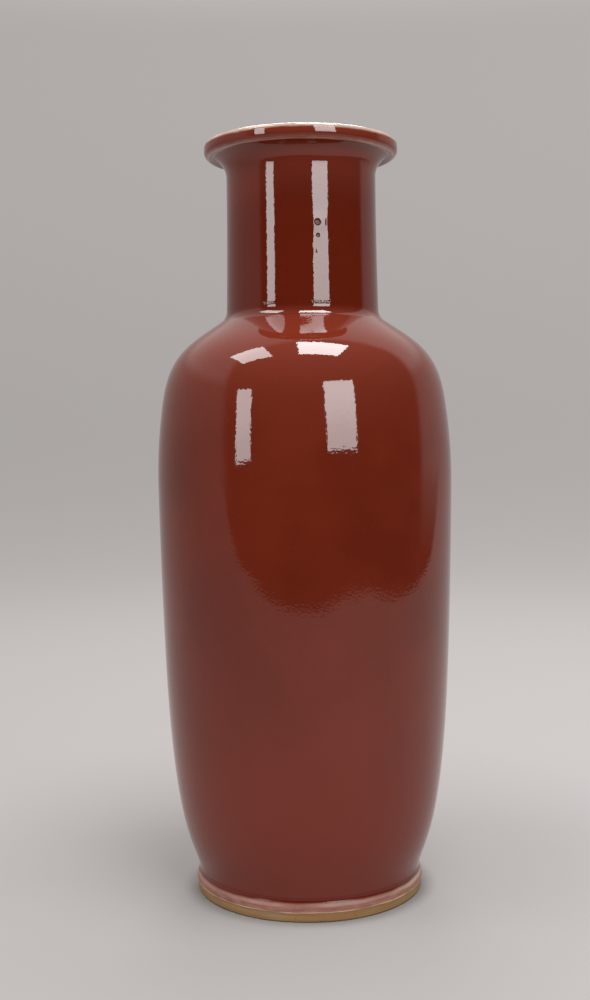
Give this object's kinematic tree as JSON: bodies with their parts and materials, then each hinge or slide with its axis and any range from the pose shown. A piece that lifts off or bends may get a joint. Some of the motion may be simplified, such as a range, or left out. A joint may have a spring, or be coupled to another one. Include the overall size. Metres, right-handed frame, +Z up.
{
  "type": "rouleau vase",
  "caption": "Tall rouleau vase with a nearly straight body, round shoulder, straight neck and flaring rolled lip, in copper-red glazed stoneware with a pale rim and a bare foot.",
  "frame": {"origin": "centre of the foot ring on the surface the vase stands on", "axes": "+Z up along the vase's axis of revolution; X and Y are equivalent, and the picture looks along +Y"},
  "size_m": [0.1778, 0.1778, 0.45],
  "materials": {
    "stoneware": "bare fired tan stoneware, matt, turned",
    "slip": "fired slip of the same clay, matt",
    "red_glaze": "glossy copper-red glaze with a fine orange-peel surface",
    "pale_glaze": "glossy pale glaze where the red has run thin at the lip",
    "pink_glaze": "mottled pale pink glaze above the bare foot",
    "cream_glaze": "glossy cream glaze with fine crackle"
  },
  "bodies": {
    "root": {"foot_ring": "stoneware", "lower_body": "stoneware", "upper_body": "stoneware", "neck": "stoneware", "foot_slip_joint": "slip", "body_slip_joint": "slip", "neck_slip_joint": "slip", "red_glaze": "red_glaze", "rim_glaze": "pale_glaze", "foot_glaze": "pink_glaze", "inner_glaze": "cream_glaze", "base_glaze": "cream_glaze"}
  },
  "joints": []
}
